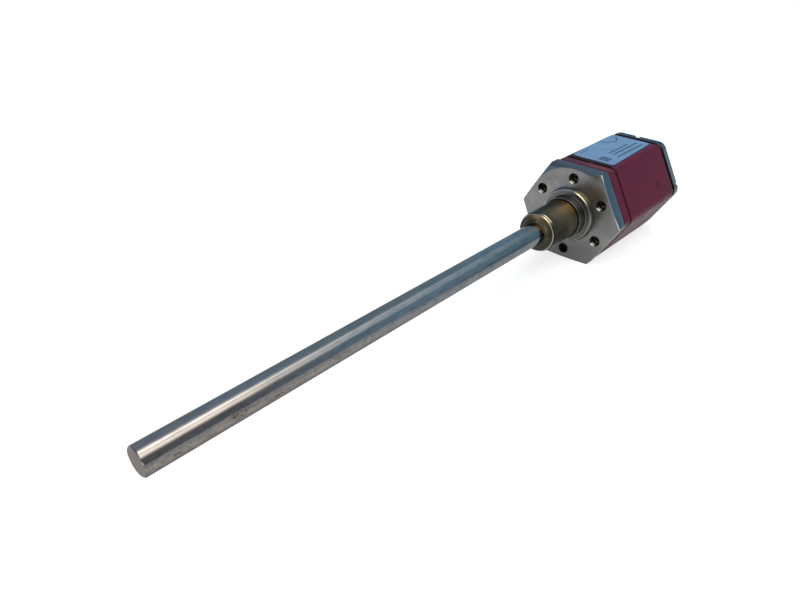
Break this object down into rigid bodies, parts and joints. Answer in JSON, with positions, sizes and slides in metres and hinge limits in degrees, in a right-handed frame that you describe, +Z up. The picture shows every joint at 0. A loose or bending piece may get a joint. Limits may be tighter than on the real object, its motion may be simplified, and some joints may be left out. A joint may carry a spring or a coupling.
{
  "type": "magnetostrictive position sensor",
  "caption": "Rod-style linear position sensor: stainless pressure rod in a hexagon flange, with a burgundy hexagon electronics head and a rear round connector.",
  "frame": {"origin": "centre of the outline's length and width, on the surface the sensor lies on", "axes": "+X along the rod towards its closed tip, +Z up through the label flat of the hexagon"},
  "size_m": [0.3056, 0.0532, 0.046],
  "materials": {
    "stainless_turned": "turned and brushed stainless steel",
    "stainless_rod": "drawn stainless tube, satin, lightly stained",
    "burgundy_enamel": "semi-gloss burgundy coating on metal",
    "cover_grey": "dark grey metal, satin",
    "black_rubber": "matt black rubber",
    "screw_steel": "plain steel",
    "nickel_plate": "nickel plate, satin",
    "black_plastic": "matt black plastic",
    "pale_plastic": "natural plastic",
    "gold_plate": "thin gold plate on brass",
    "board_green": "green lacquered circuit board",
    "copper_wire": "enamelled copper wire",
    "ferrite": "dull dark magnet",
    "nickel_iron": "bright drawn wire"
  },
  "bodies": {
    "root": {"bias_magnet": "ferrite", "board_screw_1": "screw_steel", "board_screw_2": "screw_steel", "board_screw_3": "screw_steel", "board_screw_4": "screw_steel", "capacitor_1": "nickel_plate", "capacitor_2": "nickel_plate", "capacitor_3": "nickel_plate", "coil_bobbin": "pale_plastic", "connector_insert": "black_plastic", "connector_nut": "nickel_plate", "connector_pin_1": "gold_plate", "connector_pin_2": "gold_plate", "connector_pin_3": "gold_plate", "connector_pin_4": "gold_plate", "connector_pin_5": "gold_plate", "connector_pin_6": "gold_plate", "connector_pin_7": "gold_plate", "connector_pin_8": "gold_plate", "connector_seal": "black_rubber", "connector_shell": "nickel_plate", "cover_screw_1": "screw_steel", "cover_screw_2": "screw_steel", "cover_screw_3": "screw_steel", "cover_screw_4": "screw_steel", "cover_screw_5": "screw_steel", "cover_screw_6": "screw_steel", "damper": "black_rubber", "driver_chip": "black_plastic", "electronics_chassis": "black_plastic", "element_carrier": "pale_plastic", "flange": "stainless_turned", "flange_screw_1": "screw_steel", "flange_screw_2": "screw_steel", "flange_screw_3": "screw_steel", "flange_screw_4": "screw_steel", "flange_screw_5": "screw_steel", "flange_screw_6": "screw_steel", "front_frame": "burgundy_enamel", "front_gasket": "black_rubber", "housing": "burgundy_enamel", "link_board": "board_green", "main_board": "board_green", "main_board_header": "pale_plastic", "pickup_coil": "copper_wire", "power_board": "board_green", "power_board_header": "pale_plastic", "pressure_tube": "stainless_rod", "processor_chip": "black_plastic", "rear_cover": "cover_grey", "rear_gasket": "black_rubber", "return_wire": "copper_wire", "sensor_head": "black_plastic", "spigot_o_ring": "black_rubber", "timer_chip": "black_plastic", "waveguide": "nickel_iron", "waveguide_sleeve": "pale_plastic"}
  },
  "joints": []
}
